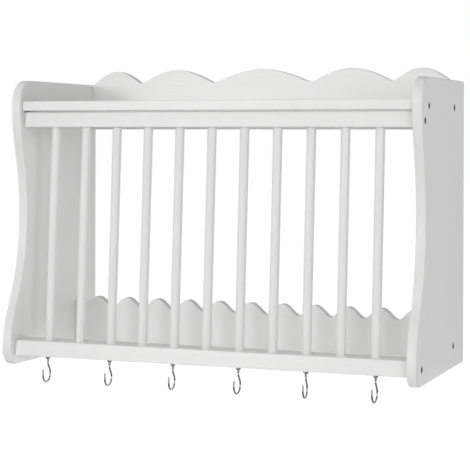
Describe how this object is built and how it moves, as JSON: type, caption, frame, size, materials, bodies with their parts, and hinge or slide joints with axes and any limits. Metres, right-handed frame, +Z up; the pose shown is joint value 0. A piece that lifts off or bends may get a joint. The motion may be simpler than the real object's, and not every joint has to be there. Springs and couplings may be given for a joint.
{
  "type": "wall plate rack",
  "caption": "White painted wooden wall plate rack with S-shaped side panels, a scalloped back board over a shelf, leaning spindles, a notched plate board and cup hooks.",
  "frame": {"origin": "on the wall plane, midway between the entry holes of the two keyhole hangers", "axes": "+X along the rack to the viewer's right, +Y into the wall, +Z up"},
  "size_m": [0.7, 0.3212, 0.5221],
  "materials": {
    "white_paint": "satin white paint over straight-grained wood",
    "hook_metal": "bright nickel plate",
    "screw_metal": "dark zinc",
    "bare_wood": "fluted beech, unpainted",
    "hanger_steel": "zinc plate"
  },
  "bodies": {
    "root": {"left_side_panel": "white_paint", "right_side_panel": "white_paint", "shelf_board": "white_paint", "top_back_board": "white_paint", "lower_back_board": "white_paint", "top_front_rail": "white_paint", "bottom_front_rail": "white_paint", "spindle_1": "white_paint", "spindle_2": "white_paint", "spindle_3": "white_paint", "spindle_4": "white_paint", "spindle_5": "white_paint", "spindle_6": "white_paint", "spindle_7": "white_paint", "spindle_8": "white_paint", "spindle_9": "white_paint", "spindle_10": "white_paint", "spindle_11": "white_paint", "cup_hook_1": "hook_metal", "cup_hook_2": "hook_metal", "cup_hook_3": "hook_metal", "cup_hook_4": "hook_metal", "cup_hook_5": "hook_metal", "cup_hook_6": "hook_metal", "shelf_screws": "screw_metal", "top_rail_screws": "screw_metal", "bottom_rail_screws": "screw_metal", "lower_board_screws": "screw_metal", "back_board_screws": "screw_metal", "top_board_dowels": "bare_wood", "lower_board_dowels": "bare_wood", "left_hanger": "hanger_steel", "right_hanger": "hanger_steel", "hanger_screws": "hanger_steel"}
  },
  "joints": []
}
